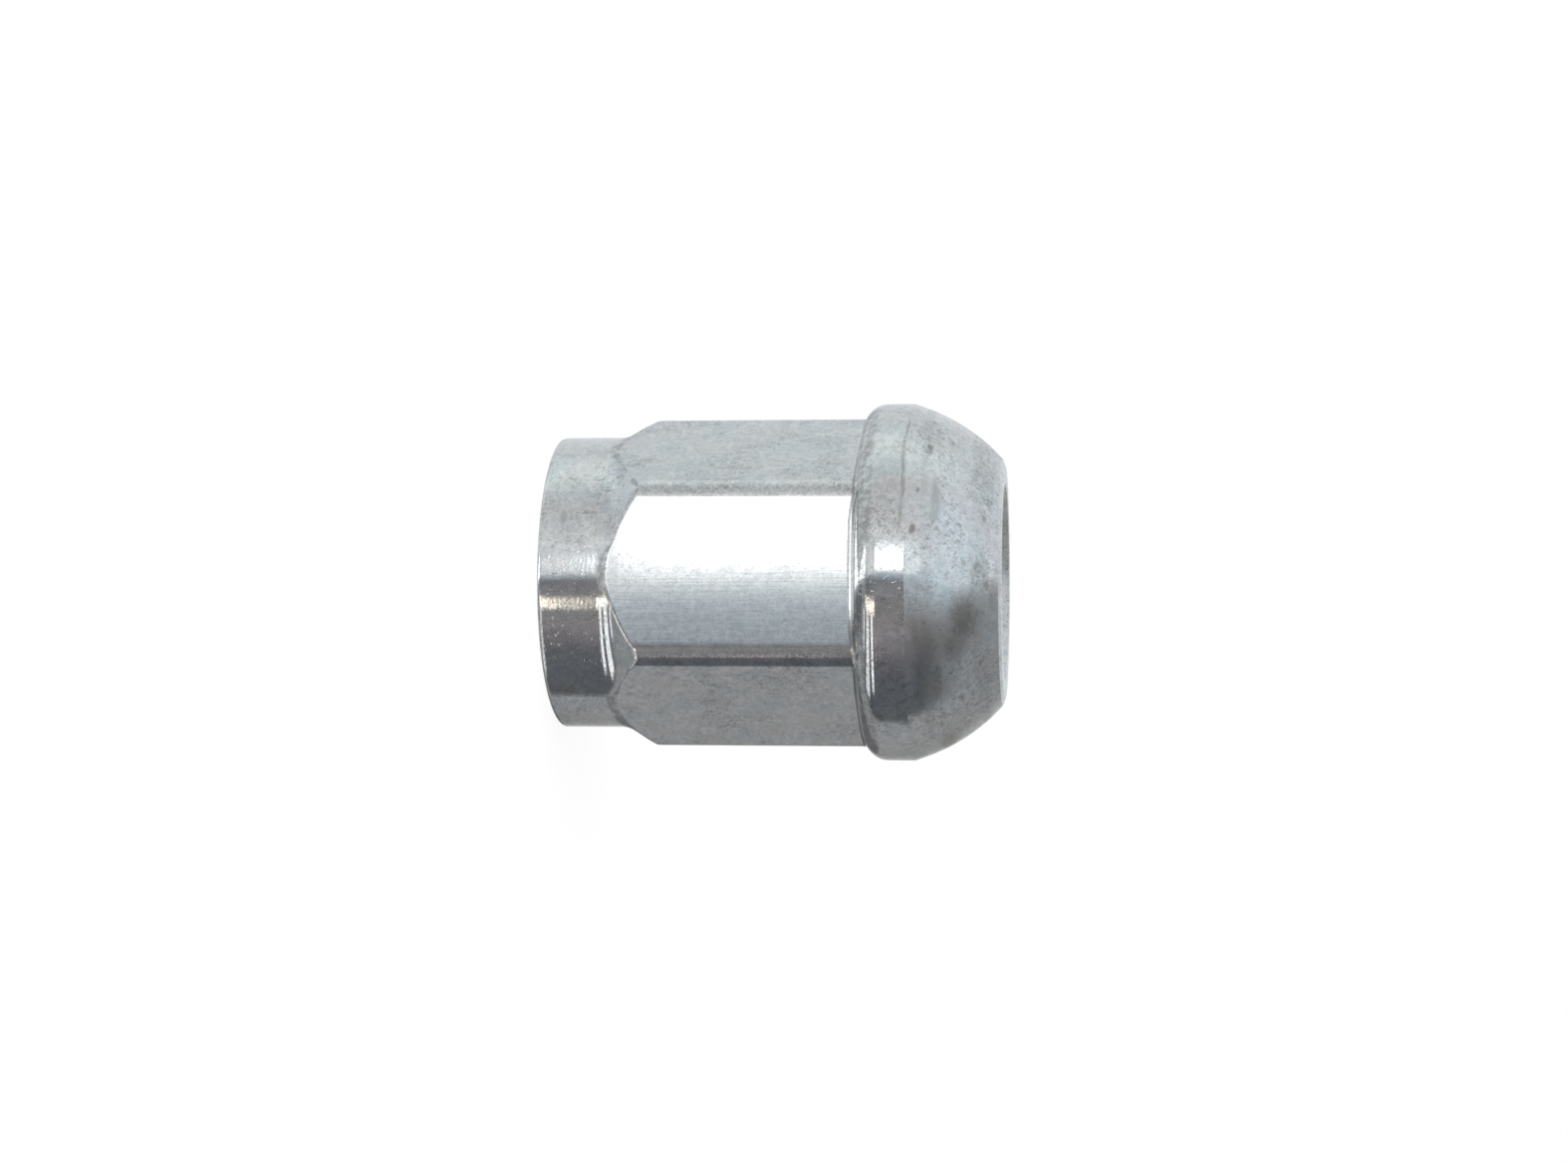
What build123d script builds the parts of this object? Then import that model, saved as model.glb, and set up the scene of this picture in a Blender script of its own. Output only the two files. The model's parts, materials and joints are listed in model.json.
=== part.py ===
from build123d import *

import os
from math import radians, sqrt, tan

# Closed lug nut, cold formed and tapped as one piece. It stands on its closed end: the axis
# is +Z, the origin is the centre of the closed face, and the threaded mouth looks up.
# One flat of the hexagon faces -Y. All sizes are in millimetres and degrees.

# --- Cap: the plain round closed end ---
cap_diameter = 18.96
cap_length = 4.4                # closed face to the start of the crown
cap_edge_break = 0.25           # small bevel round the closed face

# --- Crown: the cone that takes the corners of the hexagon down to the cap ---
crown_angle = 32.0              # between the cone and the axis
crown_root_radius = 2.0         # hollow between the cap and the cone

# --- Hexagon ---
across_flats = 19.0
hex_corner_radius = 1.6
hex_length = 15.5               # start of the crown to the back of the flange

# --- Flange ---
flange_diameter = 23.1
flange_back_radius = 1.5        # rolled rear rim
flange_land = 1.85              # straight rim between the rolled rear and the seat
flange_root_radius = 0.4        # hollow between the hexagon and the flange

# --- Ball seat that centres the nut in the wheel ---
seat_radius = 12.0
seat_centre_depth = 3.5         # centre of the ball, below the end of the land
seat_height = 5.65              # end of the land to the end face
seat_edge_break = 0.25          # small bevel round the end face

# --- Blind hole, tapped metric fine, drilled to the thread's minor diameter ---
thread_diameter = 12.0
thread_pitch = 1.5
hole_depth = 22.0               # end face to the full width of the drill's tip
drill_point_angle = 118.0
countersink_angle = 90.0
countersink_relief = 0.4        # countersink beyond the thread, all round

# --- Worked out from the sizes above ---
cap_radius = cap_diameter / 2
hex_start = cap_length - crown_root_radius * tan(radians(crown_angle / 2))
corner_reach = across_flats / sqrt(3)           # axis to a sharp corner of the hexagon
flange_radius = flange_diameter / 2
flange_back = cap_length + hex_length
land_start = flange_back + flange_back_radius
land_end = land_start + flange_land
total_length = land_end + seat_height
seat_centre = land_end - seat_centre_depth
seat_start_radius = sqrt(seat_radius**2 - seat_centre_depth**2)
seat_end_radius = sqrt(seat_radius**2 - (total_length - seat_centre) ** 2)
hole_radius = (thread_diameter - 1.0825 * thread_pitch) / 2
hole_floor = total_length - hole_depth
drill_tip = hole_floor - hole_radius / tan(radians(drill_point_angle / 2))
mouth_radius = thread_diameter / 2 + countersink_relief
mouth_floor = total_length - (mouth_radius - hole_radius) / tan(radians(countersink_angle / 2))


def turned(face):
    """The solid swept round the axis by a face drawn as (radius, height)."""
    return revolve(Plane.XZ * face, Axis.Z)


def corner(face, point):
    """The vertex of a drawn face at a point."""
    return face.vertices().sort_by_distance(point)[0]


def blank():
    """Cap and cone, turned, and wide enough above them to hold the hexagon's corners."""
    blank_radius = corner_reach + 1
    cone_length = (blank_radius - cap_radius) / tan(radians(crown_angle))
    outline = Polyline(
        (0, 0),
        (cap_radius, 0),
        (cap_radius, cap_length),
        (blank_radius, cap_length + cone_length),
        (blank_radius, land_start),
        (0, land_start),
        close=True,
    )
    face = make_face(outline.edges())
    face = fillet(corner(face, (cap_radius, cap_length)), crown_root_radius)
    face = chamfer(corner(face, (cap_radius, 0)), cap_edge_break)
    return turned(face)


def hexagon_waste():
    """What is squeezed away round the rolled-corner hexagon, above the cap."""
    section = RegularPolygon(radius=across_flats / 2, side_count=6, major_radius=False)
    section = fillet(section.vertices(), hex_corner_radius)
    around = Circle(2 * corner_reach) - section
    return Pos(0, 0, hex_start) * extrude(around, amount=land_start - hex_start)


def flange():
    """Rolled rear rim, land and ball seat, solid up to the end face."""
    rear_radius = flange_radius - flange_back_radius
    outline = [
        Line((0, flange_back), (rear_radius, flange_back)),
        TangentArc((rear_radius, flange_back), (flange_radius, land_start), tangent=(1, 0)),
        Line((flange_radius, land_start), (flange_radius, land_end)),
        Line((flange_radius, land_end), (seat_start_radius, land_end)),
        RadiusArc((seat_start_radius, land_end), (seat_end_radius, total_length), -seat_radius),
        Line((seat_end_radius, total_length), (0, total_length)),
        Line((0, total_length), (0, flange_back)),
    ]
    face = make_face(outline)
    face = chamfer(corner(face, (seat_end_radius, total_length)), seat_edge_break)
    return turned(face)


def blind_hole():
    """Countersink, minor diameter and drill point, as the solid that is taken away."""
    outline = Polyline(
        (0, drill_tip),
        (hole_radius, hole_floor),
        (hole_radius, mouth_floor),
        (mouth_radius, total_length),
        (0, total_length),
        close=True,
    )
    return turned(make_face(outline.edges()))


def lug_nut():
    """The whole nut as one solid."""
    head = blank() - hexagon_waste()
    rim = flange()
    body = head + rim
    body = fillet(new_edges(head, rim, combined=body), flange_root_radius)
    return body - blind_hole()


nut = lug_nut()
nut.label = "lug_nut"

os.makedirs("parts", exist_ok=True)
export_step(nut, "parts/lug_nut.step")
print(f"lug_nut: {nut.volume:.0f} mm3, {total_length:.2f} mm long, hole {2 * hole_radius:.3f} mm wide")
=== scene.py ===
import json
from math import acos, atan, copysign, cos, pi, radians, sin, sqrt, tan

import bmesh
import bpy
from bpy.props import FloatProperty, FloatVectorProperty, IntProperty, PointerProperty
from bpy.types import Operator, Panel, PropertyGroup
from mathutils import Matrix, Vector


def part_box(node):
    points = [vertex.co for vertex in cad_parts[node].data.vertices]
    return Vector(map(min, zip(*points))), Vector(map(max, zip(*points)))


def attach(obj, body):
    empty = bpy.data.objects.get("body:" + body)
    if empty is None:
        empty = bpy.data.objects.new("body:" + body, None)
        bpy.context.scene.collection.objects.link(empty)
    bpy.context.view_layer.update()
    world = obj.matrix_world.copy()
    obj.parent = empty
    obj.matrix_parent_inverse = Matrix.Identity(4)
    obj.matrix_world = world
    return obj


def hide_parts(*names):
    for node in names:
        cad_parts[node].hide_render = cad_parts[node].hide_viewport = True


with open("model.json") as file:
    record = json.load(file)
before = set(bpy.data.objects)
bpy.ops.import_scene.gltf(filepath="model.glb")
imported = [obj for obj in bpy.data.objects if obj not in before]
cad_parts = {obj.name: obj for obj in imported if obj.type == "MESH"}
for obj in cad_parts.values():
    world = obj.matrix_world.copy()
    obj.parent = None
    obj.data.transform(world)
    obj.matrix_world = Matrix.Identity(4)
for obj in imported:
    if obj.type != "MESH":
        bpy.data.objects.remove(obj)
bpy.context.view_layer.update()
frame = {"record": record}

bl_info = {
    "name": "Closed lug nut",
    "version": (1, 0, 0),
    "blender": (4, 5, 0),
    "location": "3D View > Sidebar > Lug nut",
    "description": "A zinc-plated closed lug nut with a ball seat, on a studio floor",
    "category": "Add Mesh",
}

NODE = "lug_nut"
MM = 0.001
NODE_LOW, NODE_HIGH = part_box(NODE)
MOUNTS = {mount["name"]: mount for mount in frame["record"]["mounts"]}


# ---------------------------------------------------------------- sizes and colours


def length(name, description, default):
    """A length in metres."""
    return FloatProperty(
        name=name,
        description=description,
        default=default,
        min=0.0,
        precision=5,
        unit="LENGTH",
        subtype="DISTANCE",
    )


def turn(name, description, default):
    """An angle, written in degrees and kept in radians."""
    return FloatProperty(
        name=name,
        description=description,
        default=radians(default),
        unit="ROTATION",
        subtype="ANGLE",
    )


def share(name, description, default):
    """A number from 0 to 1."""
    return FloatProperty(
        name=name, description=description, default=default, min=0.0, max=1.0, subtype="FACTOR"
    )


def amount(name, description, default):
    """A plain number."""
    return FloatProperty(name=name, description=description, default=default)


def colour(name, description, default):
    """A linear colour."""
    return FloatVectorProperty(
        name=name, description=description, default=default, min=0.0, max=1.0, subtype="COLOR"
    )


class LugNutSizes(PropertyGroup):
    """Sizes of the nut. Length, flange, hole and ball seat come from the frame."""

    total_length: length("Length", "Closed face to end face", NODE_HIGH.z - NODE_LOW.z)
    cap_diameter: length("Cap diameter", "Across the round closed end", 18.96 * MM)
    cap_length: length("Cap length", "Closed face to the start of the crown", 4.4 * MM)
    cap_edge: length("Cap edge", "Rounding of the closed face's rim", 0.3 * MM)
    crown_angle: turn("Crown angle", "Between the crown's cone and the axis", 32.0)
    crown_root: length("Crown root", "Radius of the hollow between cap and crown", 2.0 * MM)
    crown_edge: length("Crown edge", "Softening where the crown cuts the hexagon", 0.15 * MM)
    across_flats: length("Across flats", "Wrench size", 19.0 * MM)
    flat_crown: length("Flat crown", "Fall of each flat from its middle to its ends", 0.06 * MM)
    corner_radius: length("Corner radius", "Rolled corners of the hexagon", 1.6 * MM)
    hex_length: length("Hexagon length", "Start of the crown to the flange", 15.5 * MM)
    guard: length("Guard row", "Narrow rows that keep straight runs true", 0.04 * MM)
    flange_diameter: length("Flange diameter", "Across the flange", NODE_HIGH.x - NODE_LOW.x)
    flange_back: length("Flange back", "Radius of the rolled rear rim", 1.5 * MM)
    flange_root: length("Flange root", "Hollow between hexagon and flange", 0.4 * MM)
    flange_land: length("Flange land", "Straight rim behind the seat", 1.85 * MM)
    flange_edge: length("Flange edge", "Softening between land and seat", 0.12 * MM)
    seat_radius: length("Seat radius", "Ball that the seat is part of", 12.0 * MM)
    seat_centre: length(
        "Seat centre", "Height of the ball's centre", MOUNTS["ball_seat"]["pos_m"][2]
    )
    seat_edge: length("Seat edge", "Broken edge between seat and end face", 0.25 * MM)
    hole_radius: length(
        "Hole radius", "Drilled radius", MOUNTS["stud_thread"]["dims"]["r_mm"] * MM
    )
    hole_depth: length("Hole depth", "End face to the drill's shoulder", 22.0 * MM)
    drill_angle: turn("Drill angle", "Whole angle of the drill's point", 118.0)
    mouth_radius: length("Mouth radius", "Countersink at the end face", 6.4 * MM)
    mouth_edge: length("Mouth edge", "Softening of the countersink's rim", 0.08 * MM)
    thread_radius: length("Thread radius", "Axis to the roots of the thread", 6.0 * MM)
    pitch: length("Pitch", "Advance of the thread in one turn", 1.5 * MM)
    lead_in: length("Tap lead", "Last turns, cut ever shallower", 3.6 * MM)
    sharp_angle: turn("Sharp angle", "Faces that meet at more than this keep a crisp edge", 19.0)
    sector_columns: IntProperty(
        name="Columns", description="Divisions of each sixth of the nut", default=64, min=8
    )


# ---------------------------------------------------------------- outline of the nut


ROWS = {  # divisions of each run of the outline, in their order
    "closed face": 3,
    "cap rim": 8,
    "cap": 4,
    "crown": 16,
    "crown edge": 4,
    "hexagon": 5,
    "flange root": 6,
    "flange back": 12,
    "land": 1,
    "land edge": 3,
    "seat": 22,
    "seat edge": 3,
    "end face": 2,
    "mouth edge": 2,
    "countersink": 2,
    "hole": 4,
    "drill point": 5,
}


def run(start, end, steps):
    """Points of a straight run, without its start."""
    return [start.lerp(end, step / steps) for step in range(1, steps + 1)]


def straight(sizes, start, end, steps):
    """A straight run with a narrow row at each end, so that smooth shading leaves it true."""
    guard = sizes.guard * (end - start).normalized()
    return [start + guard] + run(start + guard, end - guard, steps) + [end]


def bend(start, knee, end, steps):
    """Points of a soft bend round a knee, without its start."""
    return [
        start.lerp(knee, step / steps).lerp(knee.lerp(end, step / steps), step / steps)
        for step in range(1, steps + 1)
    ]


def sweep(centre, radius, first, last, steps):
    """Points of an arc between two angles, without its start."""
    angles = [first + (last - first) * step / steps for step in range(1, steps + 1)]
    return [centre + Vector((radius * cos(a), radius * sin(a))) for a in angles]


def from_flat(angle):
    """A direction round the axis, measured from the middle of the nearest flat."""
    return (angle + 2 * pi / 3) % (pi / 3) - pi / 6


def reach(sizes, angle):
    """From the axis to the side of the rolled hexagon, one flat of which faces -Y. Each flat
    is faintly crowned, as pressed flats are."""
    half, roll = sizes.across_flats / 2, sizes.corner_radius
    off_flat = abs(from_flat(angle))
    flat_end = (half - roll) * tan(pi / 6)
    along = half * tan(off_flat)
    if along <= flat_end:
        return (half - sizes.flat_crown * (along / flat_end) ** 2) / cos(off_flat)
    centre, off_corner = (half - roll) / cos(pi / 6), pi / 6 - off_flat
    fall = sizes.flat_crown / cos(pi / 6)
    return centre * cos(off_corner) + sqrt(roll**2 - (centre * sin(off_corner)) ** 2) - fall


def column_angle(sizes, angle):
    """An even division of the circle, moved so that the rolled corners get more columns."""
    corner_share = 0.375
    half, roll = sizes.across_flats / 2, sizes.corner_radius
    flat_end = atan((half - roll) * tan(pi / 6) / half)
    off_flat = from_flat(angle)
    part = abs(off_flat) / (pi / 6)
    if part <= 1 - corner_share:
        moved = flat_end * part / (1 - corner_share)
    else:
        moved = pi / 6 - (pi / 6 - flat_end) * (1 - part) / corner_share
    return angle - off_flat + copysign(moved, off_flat)


def crown_point(sizes, along):
    """The point of hollow and cone this far along from the end of the cap."""
    hollow = sizes.crown_root
    start = Vector((sizes.cap_diameter / 2, sizes.cap_length - hollow * tan(sizes.crown_angle / 2)))
    angle = min(along / hollow, sizes.crown_angle)
    point = start + hollow * Vector((1 - cos(angle), sin(angle)))
    slope = Vector((sin(sizes.crown_angle), cos(sizes.crown_angle)))
    return point + max(along - hollow * sizes.crown_angle, 0.0) * slope


def crown_length(sizes, out):
    """How far along the crown the hexagon's side is met, at this reach."""
    hollow, angle = sizes.crown_root, sizes.crown_angle
    rise = out - sizes.cap_diameter / 2
    if rise < hollow * (1 - cos(angle)):
        return hollow * acos(1 - rise / hollow)
    return hollow * angle + (rise - hollow * (1 - cos(angle))) / sin(angle)


def cap_outline(sizes):
    """The closed face, its rounded rim and the side of the cap."""
    cap, edge = sizes.cap_diameter / 2, sizes.cap_edge
    middle = Vector((0, 0))
    points = [middle] + straight(sizes, middle, Vector((cap - edge, 0)), ROWS["closed face"])
    points += sweep(Vector((cap - edge, edge)), edge, -pi / 2, 0, ROWS["cap rim"])
    return points + straight(sizes, points[-1], crown_point(sizes, 0), ROWS["cap"])


def crown_outline(sizes, out):
    """The hollow and the cone, up to a soft bend into the hexagon's side."""
    soft, rows = sizes.crown_edge, ROWS["crown"]
    met = crown_length(sizes, out)
    points = [crown_point(sizes, (met - soft) * step / rows) for step in range(1, rows + 1)]
    crease = crown_point(sizes, met)
    return points + bend(points[-1], crease, crease + Vector((0, soft)), ROWS["crown edge"])


def flange_rear(sizes, out):
    """The hollow beside the hexagon and the rolled rear rim, from the hexagon's side out."""
    back, root, rows = sizes.flange_back, sizes.flange_root, ROWS["flange back"]
    rim_radius = sizes.flange_diameter / 2
    rim = Vector((rim_radius - back, sizes.cap_length + sizes.hex_length + back))
    across = max(out + root - rim.x, 0.0)
    centre = Vector((out + root, rim.y - sqrt((back + root) ** 2 - across**2)))
    lean = acos(across / (back + root))
    points = [Vector((out, centre.y))]
    points += sweep(centre, root, pi, pi - lean, ROWS["flange root"])
    foot = points[-1].x
    touch = max(rim.x - foot, 0.0)
    around = back * lean
    for step in range(1, rows + 1):
        along = (touch + around) * step / rows
        if along < touch:
            points.append(Vector((foot + along, rim.y - back)))
        else:
            angle = -lean + (along - touch) / back
            points.append(rim + back * Vector((cos(angle), sin(angle))))
    return points


def seat_outline(sizes, rim):
    """The land, from the rolled rim on, its run into the ball seat, and the seat's far edge."""
    soft, radius = sizes.flange_edge, sizes.seat_radius
    ball = Vector((0, sizes.seat_centre))
    land_end = rim + Vector((0, sizes.flange_land))
    start_x = sqrt(radius**2 - (land_end.y - ball.y) ** 2)
    end_x = sqrt(radius**2 - (sizes.total_length - ball.y) ** 2)
    low = acos(start_x / radius) + soft / radius
    high = acos(end_x / radius) - sizes.seat_edge / radius
    points = straight(sizes, rim, land_end - Vector((0, soft)), ROWS["land"])
    knee = points[-1]
    seat_start = ball + radius * Vector((cos(low), sin(low)))
    lead = 0.2 * soft  # the bend starts before the knee,
    lip = 0.12  # ends this far along the slope to the seat,
    lap = 0.05 * soft / radius  # and the seat starts this angle early
    points += bend(knee - Vector((0, lead)), knee, knee.lerp(seat_start, lip), ROWS["land edge"])
    points += sweep(ball, radius, low - lap, high, ROWS["seat"])
    brim = Vector((end_x - sizes.seat_edge, sizes.total_length))
    return points + run(points[-1], brim, ROWS["seat edge"])


def hole_outline(sizes, start):
    """From the seat's edge across the end face and down the hole to the drill's tip."""
    soft, top = sizes.mouth_edge, sizes.total_length
    mouth = Vector((sizes.mouth_radius, top))
    throat = Vector((sizes.hole_radius, top - (mouth.x - sizes.hole_radius)))
    shoulder = Vector((sizes.hole_radius, top - sizes.hole_depth))
    tip = Vector((0, shoulder.y - shoulder.x / tan(sizes.drill_angle / 2)))
    bent = mouth.lerp(throat, soft / (mouth - throat).length)
    points = run(start, mouth + Vector((soft, 0)), ROWS["end face"])
    points += bend(points[-1], mouth, bent, ROWS["mouth edge"])
    points += run(points[-1], throat, ROWS["countersink"])
    points += run(throat, shoulder, ROWS["hole"])
    return points + run(shoulder, tip, ROWS["drill point"])


def meridian(sizes, out):
    """Outline as (radius, height), from the closed face round to the drill's tip, in the
    direction where the hexagon's side is this far from the axis."""
    points = cap_outline(sizes) + crown_outline(sizes, out)
    rear = flange_rear(sizes, out)
    points += straight(sizes, points[-1], rear[0], ROWS["hexagon"]) + rear[1:]
    points += seat_outline(sizes, rear[-1])
    return points + hole_outline(sizes, points[-1])


# ---------------------------------------------------------------- mesh tools


WELD = 1e-7  # vertices nearer than this are one, in metres
TAP_TURNS = 14
TAP_STEPS = 96  # in one turn


def chain(bm, points, rows=None):
    """A line of vertices in the XZ plane, joined by edges, each marked with its row."""
    verts = [bm.verts.new((point.x, 0, point.y)) for point in points]
    if rows is not None:
        for row, vert in enumerate(verts):
            vert[rows] = row
    return [bm.edges.new(pair) for pair in zip(verts, verts[1:])], verts


def mesh_from(bm, name):
    """A mesh with its doubles merged and its faces turned outwards."""
    bmesh.ops.remove_doubles(bm, verts=bm.verts, dist=WELD)
    bmesh.ops.recalc_face_normals(bm, faces=bm.faces)
    mesh = bpy.data.meshes.new(name)
    bm.to_mesh(mesh)
    bm.free()
    return mesh


def add_object(name, data):
    """An object at the origin, in the scene."""
    made = bpy.data.objects.new(name, data)
    bpy.context.scene.collection.objects.link(made)
    return made


def shade(mesh, sharp_angle):
    """Smooth faces that meet in crisp edges beyond an angle."""
    bm = bmesh.new()
    bm.from_mesh(mesh)
    for face in bm.faces:
        face.smooth = True
    for edge in bm.edges:
        edge.smooth = edge.calc_face_angle(0.0) < sharp_angle
    bm.to_mesh(mesh)
    bm.free()


def nut_body(sizes):
    """The forged and drilled nut: its outline spun round, and its middle pressed to a hexagon."""
    bm = bmesh.new()
    rows = bm.verts.layers.int.new("row")
    edges, verts = chain(bm, meridian(sizes, sizes.across_flats / 2), rows)
    bmesh.ops.spin(
        bm,
        geom=verts + edges,
        axis=(0, 0, 1),
        cent=(0, 0, 0),
        dvec=(0, 0, 0),
        angle=2 * pi,
        steps=6 * sizes.sector_columns,
        use_merge=True,
        use_normal_flip=False,
        use_duplicate=False,
    )
    columns = {}
    for vert in bm.verts:
        radius = vert.co.xy.length
        if radius < WELD:
            continue
        even = round(Vector((1, 0)).angle_signed(vert.co.xy) * -3 * sizes.sector_columns / pi)
        if even not in columns:
            angle = column_angle(sizes, even * pi / (3 * sizes.sector_columns))
            columns[even] = angle, meridian(sizes, reach(sizes, angle))
        angle, outline = columns[even]
        point = outline[vert[rows]]
        vert.co = (point.x * cos(angle), point.x * sin(angle), point.y)
    return mesh_from(bm, "nut_body")


def tap(sizes):
    """The helical ridge that cuts the thread, right-handed, with a lead that runs out."""
    pitch, deep = sizes.pitch, sizes.thread_radius
    overlap, spare = 0.25 * MM, 1.08  # inside the hole's wall, and past it at the lead's end
    inner = sizes.hole_radius - overlap
    half_root = pitch / 16  # half of the flat at the thread's root
    half_foot = half_root + (deep - inner) * tan(pi / 6)
    start = sizes.total_length + pitch
    bm = bmesh.new()
    outline = [
        Vector((inner, start - half_foot)),
        Vector((deep, start - half_root)),
        Vector((deep, start + half_root)),
        Vector((inner, start + half_foot)),
        Vector((inner, start - half_foot)),
    ]
    edges, verts = chain(bm, outline)
    bmesh.ops.spin(
        bm,
        geom=verts + edges,
        axis=(0, 0, 1),
        cent=(0, 0, 0),
        dvec=(0, 0, -pitch / TAP_STEPS),
        angle=-TAP_TURNS * 2 * pi,
        steps=TAP_TURNS * TAP_STEPS,
        use_merge=False,
        use_normal_flip=False,
        use_duplicate=False,
    )
    bmesh.ops.remove_doubles(bm, verts=bm.verts, dist=WELD)
    bmesh.ops.holes_fill(bm, edges=[edge for edge in bm.edges if edge.is_boundary], sides=0)
    last = start - TAP_TURNS * pitch
    for vert in bm.verts:
        radius = vert.co.xy.length
        shallow = max(0.0, 1 - (vert.co.z - last) / sizes.lead_in)
        if radius > inner + 10 * WELD and shallow > 0:
            less = (radius - shallow * spare * (deep - inner)) / radius
            vert.co.x *= less
            vert.co.y *= less
    return mesh_from(bm, "tap")


def cut(piece, cutter):
    """What is left of a piece after a cutter's volume is taken away. The cutter goes."""
    modifier = piece.modifiers.new("cut", "BOOLEAN")
    modifier.operation = "DIFFERENCE"
    modifier.solver = "EXACT"
    modifier.object = cutter
    graph = bpy.context.evaluated_depsgraph_get()
    whole = piece.data
    piece.data = bpy.data.meshes.new_from_object(piece.evaluated_get(graph))
    piece.modifiers.clear()
    piece.data.name = whole.name
    bpy.data.objects.remove(cutter)
    bpy.data.meshes.remove(whole)


# ---------------------------------------------------------------- shader maths


def socket_colour(tone):
    """A colour as the value of a colour socket."""
    return (*tone, 1.0)


class Socket:
    """A shader value. Python's operators on it add Math nodes."""

    def __init__(self, shader, link):
        self.shader = shader
        self.link = link

    def other(self, name):
        """Another output of the same node."""
        return Socket(self.shader, self.shader.find(self.link.node.outputs, name))

    def maths(self, operation, *values):
        """A Math node on these values."""
        inputs = dict(enumerate(values))
        return self.shader.node("ShaderNodeMath", {"operation": operation}, inputs)

    def __add__(self, other):
        return self.maths("ADD", self, other)

    def __sub__(self, other):
        return self.maths("SUBTRACT", self, other)

    def __rsub__(self, other):
        return self.maths("SUBTRACT", other, self)

    def __mul__(self, other):
        return self.maths("MULTIPLY", self, other)

    def __truediv__(self, other):
        return self.maths("DIVIDE", self, other)

    def __pow__(self, other):
        return self.maths("POWER", self, other)

    def __gt__(self, other):
        return self.maths("GREATER_THAN", self, other)

    def __abs__(self):
        return self.maths("ABSOLUTE", self)

    __radd__ = __add__
    __rmul__ = __mul__


class Shader:
    """The node tree of a material or a world."""

    def __init__(self, owner):
        owner.use_nodes = True
        self.tree = owner.node_tree
        self.tree.nodes.clear()

    def node(self, kind, settings=None, inputs=None, output=0):
        """Adds a node: its settings first, then the values or links of its sockets."""
        node = self.tree.nodes.new(kind)
        for name, value in (settings or {}).items():
            if name == "stops":
                self.fill_ramp(node.color_ramp, value)
            else:
                setattr(node, name, value)
        for name, value in (inputs or {}).items():
            socket = self.find(node.inputs, name)
            if isinstance(value, Socket):
                self.tree.links.new(value.link, socket)
            else:
                socket.default_value = value
        return Socket(self, self.find(node.outputs, output)) if node.outputs else None

    @staticmethod
    def find(sockets, name):
        """A socket by number, identifier or name."""
        if isinstance(name, int):
            return sockets[name]
        exact = [socket for socket in sockets if socket.identifier == name]
        return exact[0] if exact else sockets[name]

    @staticmethod
    def fill_ramp(ramp, stops):
        """Gives a ramp its stops of place and colour."""
        while len(ramp.elements) > 1:
            ramp.elements.remove(ramp.elements[-1])
        ramp.elements[0].position = stops[0][0]
        for place, _ in stops[1:]:
            ramp.elements.new(place)
        for element, (_, tone) in zip(ramp.elements, stops):
            element.color = tone

    def mix(self, factor, one, other):
        """One colour or the other, by a factor."""
        return self.node(
            "ShaderNodeMix",
            {"data_type": "RGBA"},
            {"Factor_Float": factor, "A_Color": one, "B_Color": other},
            "Result_Color",
        )

    def parts(self, vector):
        """The three parts of a vector."""
        split = self.node("ShaderNodeSeparateXYZ", {}, {"Vector": vector}, "X")
        return split, split.other("Y"), split.other("Z")

    def step(self, value, low, high):
        """0 below low, 1 above high and smooth between them, or the reverse if low is higher."""
        if low > high:
            return 1 - self.step(value, high, low)
        return self.node(
            "ShaderNodeMapRange",
            {"interpolation_type": "SMOOTHSTEP"},
            {"Value": value, "From Min": low, "From Max": high},
        )

    def band(self, value, low, high, soft):
        """1 between low and high, falling off over a soft edge. None leaves a side open."""
        inside = 1.0
        if low is not None:
            inside = self.step(value, low - soft, low + soft)
        if high is not None:
            inside = self.step(value, high + soft, high - soft) * inside
        return inside

    def noise(self, vector, scale, detail, rough, stretch=(1, 1, 1)):
        """Noise of about the given number of lumps in a metre."""
        spread = self.node("ShaderNodeMapping", {}, {"Vector": vector, "Scale": stretch})
        return self.node(
            "ShaderNodeTexNoise",
            {},
            {"Vector": spread, "Scale": scale, "Detail": detail, "Roughness": rough},
            "Fac",
        )


# ---------------------------------------------------------------- materials


class LugNutFinish(PropertyGroup):
    """Colours and gloss of the zinc plating."""

    zinc: colour("Zinc", "Clean plating", (0.91, 0.92, 0.92))
    cloud: colour("Cloud", "Duller clouds of the plating", (0.71, 0.73, 0.73))
    warm: colour("Warm tint", "Thin yellow passivation", (0.78, 0.74, 0.73))
    cool: colour("Cool tint", "Thin blue passivation", (0.68, 0.74, 0.78))
    # Besides real stains, this brown paints shade into the hollow at the flange's root and a dark
    # reflection onto the front of the seat.
    stain: colour("Stain", "Brown stains and handling marks", (0.30, 0.275, 0.25))
    # Besides fine grain, this dark grey paints shade on the hexagon's corners, along the crown's
    # crease and on the flange's rolled rear.
    fleck: colour("Fleck", "Fine dark grain", (0.36, 0.37, 0.37))
    polish: share("Polished roughness", "Cap, flats and land", 0.055)
    dull: share("Dull roughness", "Ball seat", 0.17)


TEXTURES = {  # lumps in a metre, detail, roughness, and the stretch along X, Y and Z
    "lumps": (2300.0, 4.0, 0.6),
    "grain": (5600.0, 3.0, 0.75),
    "tint": (520.0, 3.0, 0.5),
    "patch": (300.0, 4.0, 0.6),
    "speckle": (2700.0, 4.0, 0.7, (1.0, 1.0, 0.6)),
    "crackle": (1150.0, 3.0, 0.6),
    "bubbles": (3300.0, 2.0, 0.5),
    "drawing": (9000.0, 3.0, 0.6, (1.0, 1.0, 0.01)),
    "brushing": (8000.0, 2.0, 0.7, (1.0, 1.0, 0.05)),
    "turning": (5200.0, 3.0, 0.6, (0.02, 0.02, 1.0)),
    "lathe": (1300.0, 2.0, 0.5, (0.03, 0.03, 1.0)),
    "fluting": (3000.0, 3.0, 0.6, (1.0, 1.0, 0.12)),
}
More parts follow.
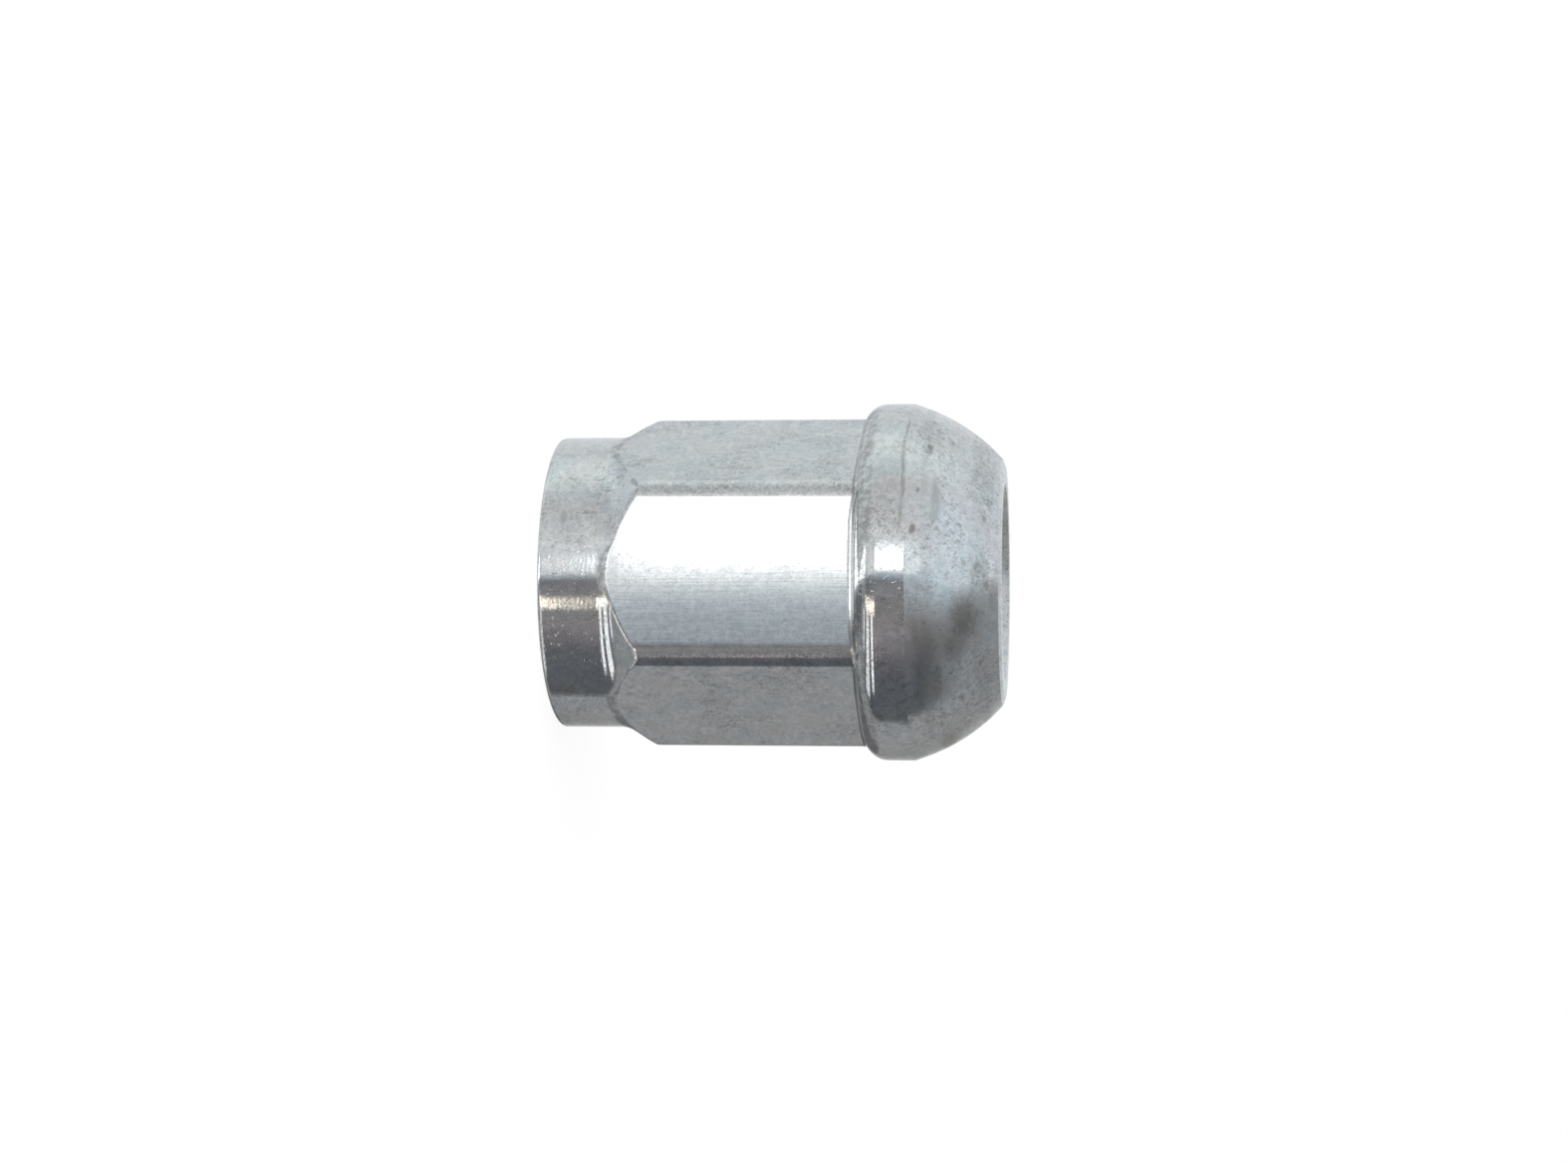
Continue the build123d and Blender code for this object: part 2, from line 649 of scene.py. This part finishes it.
LAYERS = {  # texture, where in it the layer begins to show, and where it shows in full
    "clouds": ("lumps", 0.34, 0.70),
    "warm tint": ("tint", 0.50, 0.64),
    "cool tint": ("tint", 0.50, 0.36),
    "dull patches": ("patch", 0.45, 0.68),
    "dust": ("patch", 0.42, 0.58),
    "dots": ("grain", 0.46, 0.70),
    "rough dots": ("grain", 0.48, 0.70),
    "corner dots": ("grain", 0.38, 0.60),
    "crack parts": ("grain", 0.42, 0.55),
    "cracks": ("crackle", 0.03, 0.0),
    "specks": ("speckle", 0.52, 0.64),
    "nodules": ("bubbles", 0.63, 0.74),
    "drawn lines": ("drawing", 0.45, 0.75),
    "dashes": ("brushing", 0.44, 0.68),
    "turned lines": ("turning", 0.52, 0.75),
    "lathe lines": ("lathe", 0.50, 0.60),
    "flutes": ("fluting", 0.42, 0.58),
    "crease spots": ("lumps", 0.42, 0.55),
    "rear spots": ("lumps", 0.42, 0.60),
}
# Each row below is a strength, times the textures, layers and zones named after it. The rows
# of a list are added up.
TONES = [  # from the first coat up: the colour, and how much of it covers what is below
    ("cloud", [(1.0, "clouds")]),
    ("warm", [(0.5, "warm tint"), (-0.375, "warm tint", "front")]),
    ("cool", [(0.5, "cool tint"), (-0.375, "cool tint", "front")]),
    ("cloud", [(0.3, "dull patches")]),
    (
        "fleck",
        [
            (0.42, "dots", "not front"),
            (0.3, "dots", "dust", "not front"),
            (0.45, "dots", "front"),
            (0.22, "dashes", "front"),
        ],
    ),
    (
        "fleck",
        [
            (0.6, "specks", "dust", "not front"),
            (0.5, "cracks", "crack parts", "dust", "not front"),
        ],
    ),
    ("cloud", [(0.35, "drawn lines", "flats"), (0.175, "turned lines", "turned")]),
    # Painted shade: the hexagon's rolled corners are darkened, broken into dots, to dim their
    # bright reflection.
    ("fleck", [(0.05, "corners"), (0.3, "corner dots", "corners")]),
    ("cool", [(0.6, "flutes", "cone")]),
    ("fleck", [(0.15, "lathe lines", "seat")]),
    # Painted shade: the crease where the crown cuts the hexagon is darkened, in spots, to dim the
    # bright line along it.
    ("fleck", [(0.2, "crease"), (0.45, "crease spots", "crease")]),
    # Painted shade: the hollow at the flange's root is darkened with brown.
    ("stain", [(0.65, "root")]),
    # Painted shade: the flange's rolled rear beside the hexagon is darkened, in spots.
    ("fleck", [(0.2, "rear"), (0.4, "rear spots", "rear")]),
    # Stains, handling marks and rubbed lines; on the front of the seat these also paint a dark
    # reflection.
    ("stain", [(1.0, "marks")]),
]
ROUGHNESS = [  # added to the polish
    (0.03, "seat"),
    (0.06, "lumps"),
    (-0.027,),
    (0.1, "specks", "dust", "not front"),
    (0.05, "marks"),
    (0.15, "root"),
    (0.2, "rough dots"),
    (-0.17, "rough dots", "front"),
    (0.05, "rough dots", "worn"),
    (0.1, "lathe lines", "seat"),
    (0.12, "mouth"),
    (0.25, "crease"),
]
RELIEF = [  # heights in millimetres
    (0.0022, "lumps"),
    (0.006, "lumps", "worn"),
    (-0.0018, "lumps", "flats"),
    (-0.0002, "lumps", "front"),
    (0.004, "lumps", "crease"),
    (0.004, "lumps", "rear"),
    (0.0007, "grain"),
    (0.0015, "grain", "worn"),
    (-0.0004, "grain", "flats"),
    (-0.0002, "grain", "front"),
    (0.0004, "drawing", "flats"),
    (0.0002, "turning", "turned"),
    (0.0001, "feed", "turned", "not seat"),
    (0.0035, "nodules", "turned", "not seat"),
    (0.001, "flutes", "cone"),
]
# Stains, pits and rubbed lines, and a painted dark reflection on the front of the seat: degrees
# round the axis from -Y towards +X, height, half width and half height in millimetres, and how dark
# they are.
MARKS = [
    # The first five rows, on the front of the seat, paint its dark reflection there as well as
    # stains.
    (16.5, 26.7, 1.6, 1.0, 0.6),
    (26.0, 26.2, 1.1, 0.7, 0.4),
    (31.0, 24.3, 3.0, 0.75, 0.45),
    (38.5, 24.95, 1.5, 0.5, 0.4),
    (21.0, 23.8, 1.3, 0.35, 0.35),
    (-45.5, 24.6, 0.45, 0.16, 0.8),
    (-13.0, 23.65, 0.35, 0.2, 0.8),
    (-26.5, 23.7, 0.25, 0.12, 0.6),
    (-24.0, 24.9, 1.6, 0.35, 0.4),
    (-22.5, 27.8, 0.3, 0.16, 0.5),
    (-2.0, 27.6, 0.5, 0.3, 0.4),
    (-53.0, 23.02, 1.3, 0.14, 0.5),
    (-44.0, 22.93, 1.3, 0.13, 0.42),
    (-36.0, 22.86, 1.3, 0.13, 0.5),
    (-27.0, 22.82, 1.4, 0.12, 0.45),
    (-17.0, 22.88, 1.2, 0.1, 0.35),
    (5.0, 28.1, 0.3, 0.15, 0.5),
    (1.0, 27.9, 0.2, 0.12, 0.5),
    (-22.0, 1.5, 0.5, 0.22, 0.4),
    (78.0, 25.4, 1.6, 0.8, 0.5),
    (-118.0, 26.2, 1.8, 0.7, 0.5),
    (-160.0, 24.6, 2.2, 0.5, 0.45),
    (141.0, 26.6, 1.4, 0.8, 0.6),
    (168.0, 23.0, 2.4, 0.1, 0.55),
    (-97.0, 1.8, 0.6, 0.25, 0.4),
    (122.0, 2.6, 0.7, 0.2, 0.4),
]


def marks_and_painted_reflections(shader, around, radius, z, ragged):
    """How dark the stains, handling marks and painted dark reflections of the table are here, with
    ragged edges.
    """
    core, fade = 0.45, 1.2  # in parts of a mark's half width
    dark = 0.0
    for degrees, height, half_width, half_height, depth in MARKS:
        turned = around.maths("WRAP", around - radians(degrees), pi, -pi)
        across = turned * radius / (half_width * MM)
        along = (z - height * MM) / (half_height * MM)
        away = (across * across + along * along) ** 0.5 + ragged
        here = shader.step(away, fade, core) * depth
        dark = here.maths("MAXIMUM", here, dark)
    return dark


def crown_zones(shader, sizes, radius, off_flat, z):
    """The crown's cone, and the crease where it cuts the hexagon."""
    cap, hollow, angle = sizes.cap_diameter / 2, sizes.crown_root, sizes.crown_angle
    start = sizes.cap_length - hollow * tan(angle / 2)
    longest = 3.5 * MM  # from the start of the hollow to the hexagon's corners
    inside = hollow**2 - (z - start) * (z - start)
    arc = cap + hollow - inside.maths("MAXIMUM", inside, 0.0) ** 0.5
    slope = (z - sizes.cap_length) * tan(angle) + cap
    crown = arc + (slope - arc) * (z > start + hollow * sin(angle))
    near_crown = shader.step(abs(radius - crown), 0.08 * MM, 0.03 * MM)
    near_crown = near_crown * shader.band(z, start, start + longest, 0.1 * MM)
    rolled = shader.step(off_flat, radians(23), radians(27)) * 0.2 * MM
    short = sizes.across_flats / 2 - radius * off_flat.maths("COSINE", off_flat) - rolled
    near_side = shader.step(short, 0.09 * MM, 0.03 * MM)
    # The crease carries painted shade as well as more roughness.
    return {"crease": near_crown * near_side, "cone": near_crown * (1 - near_side)}


def zones(shader, sizes, radius, around, z):
    """Where the parts of the nut's surface are, each 1 inside and 0 outside."""
    half, top = sizes.across_flats / 2, sizes.total_length
    flange = sizes.cap_length + sizes.hex_length
    land_end = flange + sizes.flange_back + sizes.flange_land
    off_flat = around.maths("PINGPONG", around, pi / 6)
    side = radius * off_flat.maths("COSINE", off_flat)
    hexagon = shader.band(z, sizes.cap_length, flange, 0.2 * MM)
    flatness = shader.step(side, half - 0.16 * MM, half - 0.07 * MM)
    flats = hexagon * flatness
    front = flats * shader.band(around, radians(-30), radians(30), radians(1))
    seat = shader.step(z, land_end - 0.1 * MM, land_end + 0.3 * MM)
    hole = shader.band(radius, None, sizes.mouth_radius, 0.03 * MM)
    return {
        "flats": flats,
        # The corners carry painted shade.
        "corners": hexagon * (1 - flatness),
        "front": front,
        "not front": 1 - front,
        "turned": 1 - hexagon,
        # The root's band carries painted shade as well as more roughness.
        "root": shader.band(z, flange - 0.15 * MM, flange + 0.03 * MM, 0.04 * MM),
        # The rear carries painted shade as well as bumps.
        "rear": shader.band(z, flange + 0.05 * MM, flange + 1.15 * MM, 0.15 * MM),
        "seat": seat,
        "not seat": 1 - seat,
        "worn": shader.step(z, land_end, land_end + 3.5 * MM),
        "mouth": shader.step(z, top - 1.5 * MM, top - 1.3 * MM) * hole,
        **crown_zones(shader, sizes, radius, off_flat, z),
    }


def added(fields, rows):
    """The sum of a table's rows: each a strength, times the fields named after it."""
    total = 0.0
    for strength, *names in rows:
        part = strength
        for name in names:
            part = fields[name] * part
        total = part + total
    return total


def surface_fields(shader, sizes):
    """All textures, layers and zones by name."""
    here = shader.node("ShaderNodeTexCoord", {}, {}, "Object")
    x, y, z = shader.parts(here)
    radius = (x * x + y * y) ** 0.5
    around = x.maths("ARCTAN2", x, -1 * y)
    fields = {name: shader.noise(here, *values) for name, values in TEXTURES.items()}
    lumps, grain = fields["lumps"], fields["grain"]
    fields["crackle"] = abs(fields["crackle"] - 0.5)
    for name, (texture, low, high) in LAYERS.items():
        fields[name] = shader.step(fields[texture], low, high)
    feed, unrest = 0.28 * MM, 9.0  # from one turned groove to the next, and how they waver
    fields["feed"] = z.maths("SINE", z * (2 * pi / feed) + lumps * unrest)
    fields.update(zones(shader, sizes, radius, around, z))
    wander, fray = 1.2 * MM, 1.6  # how far the marks stray, and how ragged their edges are
    wavy = z + (fields["patch"] - 0.5) * wander
    ragged = (grain - 0.5) * fray + (lumps - 0.5) * fray
    fields["marks"] = marks_and_painted_reflections(shader, around, radius, wavy, ragged)
    return fields


def zinc_plating(finish, sizes):
    """Cold-formed steel with bright, cloudy zinc plating, and shade painted into the flange's root,
    the crown's crease, the hexagon's corners and the flange's rolled rear.
    """
    material = bpy.data.materials.new("zinc_plating")
    shader = Shader(material)
    fields = surface_fields(shader, sizes)
    tone = socket_colour(finish.zinc)
    for name, rows in TONES:
        tone = shader.mix(added(fields, rows), tone, socket_colour(getattr(finish, name)))
    polish = finish.polish + (finish.dull - finish.polish) * fields["worn"]
    rough = polish + added(fields, ROUGHNESS)
    bump = shader.node(
        "ShaderNodeBump",
        {},
        {"Strength": 1.0, "Distance": MM, "Height": added(fields, RELIEF)},
        "Normal",
    )
    surface = shader.node(
        "ShaderNodeBsdfPrincipled",
        {},
        {"Base Color": tone, "Metallic": 1.0, "Roughness": rough, "Normal": bump},
    )
    shader.node("ShaderNodeOutputMaterial", {}, {"Surface": surface})
    return material


# ---------------------------------------------------------------- stage


class StudioSetup(PropertyGroup):
    """Floor, light and camera."""

    floor_radius: length("Floor radius", "Round floor under the nut", 1.2)
    floor_tone: colour("Floor", "Pale floor", (0.86, 0.86, 0.86))
    azimuth: turn("Azimuth", "Camera's turn round the nut, from -Y towards +X", 3.8)
    elevation: turn("Elevation", "Camera above the horizon", 6.75)
    distance: length("Distance", "Camera to the point it aims at", 182.0 * MM)
    aim: length("Aim", "Height on the axis that the camera looks at", 14.47 * MM)
    lift: length("Lift", "Shift of the aim across the axis, upwards in the view", 0.085 * MM)
    focal: amount("Focal length", "For a sensor 36 mm wide", 64.04066)
    lamp_size: length("Lamp size", "Side of the soft square lamp", 0.5)
    lamp_power: amount("Lamp power", "Power of the soft lamp in watts", 1.5)


SENSOR = 36.0  # width of the camera's sensor in millimetres
LAMP_PLACE = (-0.35, -0.3, 0.6)
STRENGTH = 3.0  # of the world: its ramps hold the tones below in parts of this
LEVEL = [  # direction round the axis in degrees, from -Y towards +X, and the light from there
    (-180, (0.80, 0.83, 0.85)),
    (-118, (0.63, 0.67, 0.69)),
    (-104, (0.76, 0.80, 0.81)),
    (-88, (0.78, 0.84, 0.84)),
    (-76, (0.64, 0.68, 0.69)),
    (-62, (0.56, 0.58, 0.59)),
    (-45, (0.60, 0.61, 0.62)),
    (-30, (0.70, 0.71, 0.71)),
    (-22, (0.84, 0.86, 0.87)),
    (-17.5, (1.4, 1.42, 1.45)),
    (-15, (2.2, 2.2, 2.2)),
    (-5.4, (2.2, 2.2, 2.2)),
    (-4.6, (1.34, 1.35, 1.36)),
    (-3.7, (1.09, 1.13, 1.17)),
    (-3.1, (0.80, 0.86, 0.90)),
    (-2.5, (0.46, 0.505, 0.54)),
    (0.1, (0.395, 0.437, 0.478)),
    (0.9, (0.33, 0.35, 0.38)),
    (2.4, (0.20, 0.21, 0.23)),
    (9, (0.26, 0.25, 0.26)),
    (24, (0.24, 0.24, 0.24)),
    (36, (0.28, 0.26, 0.27)),
    (45, (0.21, 0.195, 0.205)),
    (56, (0.145, 0.14, 0.155)),
    (70, (0.12, 0.13, 0.145)),
    (98, (0.115, 0.12, 0.13)),
    (102, (0.11, 0.115, 0.12)),
    (107, (0.33, 0.335, 0.345)),
    (140, (0.305, 0.305, 0.305)),
    (154, (0.31, 0.31, 0.31)),
    (166, (0.42, 0.42, 0.42)),
    (180, (0.80, 0.83, 0.85)),
]
ABOVE = [  # the same, from high up
    (-180, (0.60, 0.62, 0.63)),
    (-150, (0.60, 0.62, 0.63)),
    (-110, (0.69, 0.73, 0.78)),
    (-80, (0.67, 0.73, 0.78)),
    (-50, (0.73, 0.80, 0.86)),
    (-20, (0.69, 0.76, 0.81)),
    (3, (0.67, 0.75, 0.81)),
    (20, (0.44, 0.49, 0.52)),
    (35, (0.24, 0.25, 0.26)),
    (52, (0.17, 0.17, 0.17)),
    (66, (0.17, 0.175, 0.18)),
    (80, (0.24, 0.255, 0.26)),
    (112, (0.27, 0.29, 0.31)),
    (130, (0.26, 0.26, 0.27)),
    (150, (0.31, 0.31, 0.31)),
    (180, (0.60, 0.62, 0.63)),
]
BELOW = [  # the same, from under the nut's level
    (-180, (0.66, 0.68, 0.69)),
    (-4, (0.62, 0.65, 0.67)),
    (8, (0.34, 0.35, 0.36)),
    (60, (0.31, 0.31, 0.32)),
    (110, (0.36, 0.37, 0.37)),
    (180, (0.66, 0.68, 0.69)),
]


# Soft-edged patches of light: the directions round the axis from, to and their softness, the
# rise of the direction from, to and its softness, the strength, and the light.
OVER_FRONT = [
    ((-23.0, -3.0, 2.0), (0.22, None, 0.1), 1.0, (1.05, 1.08, 1.10)),
]
BEHIND = [
    ((-24.0, -2.0, 2.0), (None, -0.1775, 0.001), 1.0, (0.72, 0.74, 0.76)),
    ((138.0, None, 4.0), (-0.8, -0.22, 0.03), 1.0, (0.17, 0.17, 0.18)),
    ((None, -152.0, 6.0), (-0.8, -0.22, 0.03), 1.0, (0.5, 0.53, 0.55)),
]
UNDER_FRONT = [
    ((14.0, 110.0, 6.0), (None, -0.945, 0.015), 0.7, (0.12, 0.12, 0.13)),
    ((-27.0, -1.0, 2.0), (None, -0.79, 0.03), 1.0, (2.2, 2.2, 2.2)),
    ((15.5, 24.5, 1.5), (-0.8, -0.193, 0.008), 1.0, (1.7, 1.52, 1.3)),
    ((18.0, 80.0, 6.0), (-0.42, -0.30, 0.02), 1.0, (1.2, 1.2, 1.2)),
    ((24.0, 96.0, 6.0), (-0.73, -0.56, 0.03), 1.0, (1.2, 1.2, 1.2)),
    ((28.0, 70.0, 6.0), (-0.87, -0.83, 0.02), 1.0, (1.2, 1.2, 1.2)),
]
GLINTS = (1.5, 1.42, 1.36)


def light_tone(tone):
    """A light's colour as a socket value, in parts of the world's strength."""
    return socket_colour([part / STRENGTH for part in tone])


def cards(shader, around, tones):
    """Light round the nut from a table of directions, in parts of the world's strength."""
    stops = [((angle + 180) / 360, light_tone(tone)) for angle, tone in tones]
    return shader.node("ShaderNodeValToRGB", {"stops": stops}, {"Fac": around}, "Color")


def patched(shader, shine, degree, rise, patches):
    """The light with a table's patches laid over it."""
    for round_axis, upwards, strength, tone in patches:
        there = shader.band(degree, *round_axis) * shader.band(rise, *upwards) * strength
        shine = shader.mix(there, shine, light_tone(tone))
    return shine


def studio_world(scene):
    """Plain white light, white for the camera, and soft cards for what shines."""
    world = bpy.data.worlds.new("studio")
    scene.world = world
    shader = Shader(world)
    toward = shader.node("ShaderNodeTexCoord", {}, {}, "Generated")
    x, y, rise = shader.parts(toward)
    around = x.maths("ARCTAN2", x, -1 * y) / (2 * pi) + 0.5
    degree = (around - 0.5) * 360

    shine = patched(shader, cards(shader, around, LEVEL), degree, rise, OVER_FRONT)
    shine = shader.mix(shader.step(rise, 0.4, 0.8), shine, cards(shader, around, ABOVE))
    shine = patched(shader, shine, degree, rise, BEHIND)
    shine = shader.mix(shader.step(rise, -0.7, -0.9), shine, cards(shader, around, BELOW))
    shine = patched(shader, shine, degree, rise, UNDER_FRONT)
    broken = shader.step(shader.noise(toward, 60.0, 2.0, 0.6, (1.0, 1.0, 5.0)), 0.58, 0.64)
    edge = shader.band(degree, 40.0, 55.0, 3.0) * shader.band(rise, -0.168, -0.098, 0.004)
    shine = shader.mix(broken * edge, shine, light_tone(GLINTS))

    plain, white = light_tone((0.84, 0.84, 0.84)), light_tone((1.0, 1.0, 1.0))
    paths = shader.node("ShaderNodeLightPath", {}, {}, "Is Camera Ray")
    shown = shader.mix(paths.other("Is Glossy Ray"), plain, shine)
    shown = shader.mix(paths, shown, white)
    light = shader.node("ShaderNodeBackground", {}, {"Color": shown, "Strength": STRENGTH})
    shader.node("ShaderNodeOutputWorld", {}, {"Surface": light})


def floor_finish(studio):
    """Pale matt floor, shown nearly white with a faint shadow."""
    material = bpy.data.materials.new("studio_floor")
    shader = Shader(material)
    here = shader.node("ShaderNodeTexCoord", {}, {}, "Object")
    grain = shader.noise(here, 60.0, 2.0, 0.55)
    cloudy, whitened, glow = 0.04, 0.8, 1.08
    duller = socket_colour((0.8, 0.8, 0.8))
    tone = shader.mix(grain * cloudy, socket_colour(studio.floor_tone), duller)
    paths = shader.node("ShaderNodeLightPath", {}, {}, "Is Camera Ray")
    matt = shader.node("ShaderNodeBsdfDiffuse", {}, {"Color": tone})
    white = shader.node("ShaderNodeEmission", {}, {"Color": (1, 1, 1, 1), "Strength": glow})
    both = shader.node("ShaderNodeMixShader", {}, {0: paths * whitened, 1: matt, 2: white})
    shader.node("ShaderNodeOutputMaterial", {}, {"Surface": both})
    return material


def studio_floor(studio):
    """The round floor, which the metal doesn't mirror."""
    bm = bmesh.new()
    bmesh.ops.create_circle(bm, cap_ends=True, radius=studio.floor_radius, segments=96)
    mesh = bpy.data.meshes.new("studio_floor")
    bm.to_mesh(mesh)
    bm.free()
    floor = add_object("studio_floor", mesh)
    mesh.materials.append(floor_finish(studio))
    floor.visible_glossy = False
    return floor


def soft_lamp(studio):
    """A soft lamp over the nut's shoulder, which the metal doesn't mirror."""
    lamp = bpy.data.lights.new("soft_lamp", "AREA")
    lamp.size = studio.lamp_size
    lamp.energy = studio.lamp_power
    light = add_object("soft_lamp", lamp)
    light.location = LAMP_PLACE
    light.rotation_euler = light.location.to_track_quat("Z", "Y").to_euler()
    light.visible_glossy = False


def studio_camera(studio):
    """The camera, on its side: the nut's axis runs level, with the closed end on the left."""
    lens = bpy.data.cameras.new("camera")
    lens.sensor_width = SENSOR
    lens.lens = studio.focal
    lens.clip_start, lens.clip_end = 0.01, 10.0
    camera = add_object("camera", lens)
    level = cos(studio.elevation)
    away = Vector(
        (
            sin(studio.azimuth) * level,
            -cos(studio.azimuth) * level,
            sin(studio.elevation),
        )
    )
    right = (Vector((0, 0, 1)) - away * away.z).normalized()
    up = away.cross(right)
    turned = Matrix((right, up, away)).transposed().to_4x4()
    aim = Vector((0, 0, studio.aim)) + up * studio.lift
    camera.matrix_world = Matrix.Translation(aim + away * studio.distance) @ turned
    return camera


# ---------------------------------------------------------------- operators


class MESH_OT_lug_nut(Operator):
    """Make the closed lug nut: spun, pressed to a hexagon, tapped and zinc plated"""

    bl_idname = "mesh.lug_nut_add"
    bl_label = "Closed lug nut"

    def execute(self, context):
        sizes = context.scene.lug_nut_sizes
        nut = add_object("closed_lug_nut", nut_body(sizes))
        cut(nut, add_object("tap", tap(sizes)))
        shade(nut.data, sizes.sharp_angle)
        nut.data.materials.clear()
        nut.data.materials.append(zinc_plating(context.scene.lug_nut_finish, sizes))
        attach(nut, "root")
        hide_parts(NODE)
        return {"FINISHED"}


class SCENE_OT_studio(Operator):
    """Set up the pale floor, the soft light and the camera"""

    bl_idname = "scene.lug_nut_studio"
    bl_label = "Studio"

    def execute(self, context):
        scene = context.scene
        studio = scene.lug_nut_studio
        floor = studio_floor(studio)
        studio_world(scene)
        soft_lamp(studio)
        scene.camera = studio_camera(studio)
        scene.view_settings.view_transform = "Standard"
        return {"FINISHED"}


class VIEW3D_PT_lug_nut(Panel):
    """Panel of the closed lug nut"""

    bl_label = "Closed lug nut"
    bl_category = "Lug nut"
    bl_space_type = "VIEW_3D"
    bl_region_type = "UI"

    def draw(self, context):
        layout = self.layout
        layout.operator(MESH_OT_lug_nut.bl_idname)
        layout.operator(SCENE_OT_studio.bl_idname)
        for group in ("lug_nut_sizes", "lug_nut_finish", "lug_nut_studio"):
            settings = getattr(context.scene, group)
            box = layout.box()
            for name in settings.bl_rna.properties.keys():
                if name not in ("rna_type", "name"):
                    box.prop(settings, name)


CLASSES = (
    LugNutSizes,
    LugNutFinish,
    StudioSetup,
    MESH_OT_lug_nut,
    SCENE_OT_studio,
    VIEW3D_PT_lug_nut,
)


def register():
    for cls in CLASSES:
        bpy.utils.register_class(cls)
    bpy.types.Scene.lug_nut_sizes = PointerProperty(type=LugNutSizes)
    bpy.types.Scene.lug_nut_finish = PointerProperty(type=LugNutFinish)
    bpy.types.Scene.lug_nut_studio = PointerProperty(type=StudioSetup)


def unregister():
    del bpy.types.Scene.lug_nut_studio
    del bpy.types.Scene.lug_nut_finish
    del bpy.types.Scene.lug_nut_sizes
    for cls in reversed(CLASSES):
        bpy.utils.unregister_class(cls)


def main():
    """Makes the nut and its stage."""
    register()
    bpy.ops.mesh.lug_nut_add()
    bpy.ops.scene.lug_nut_studio()


if __name__ == "__main__":
    main()
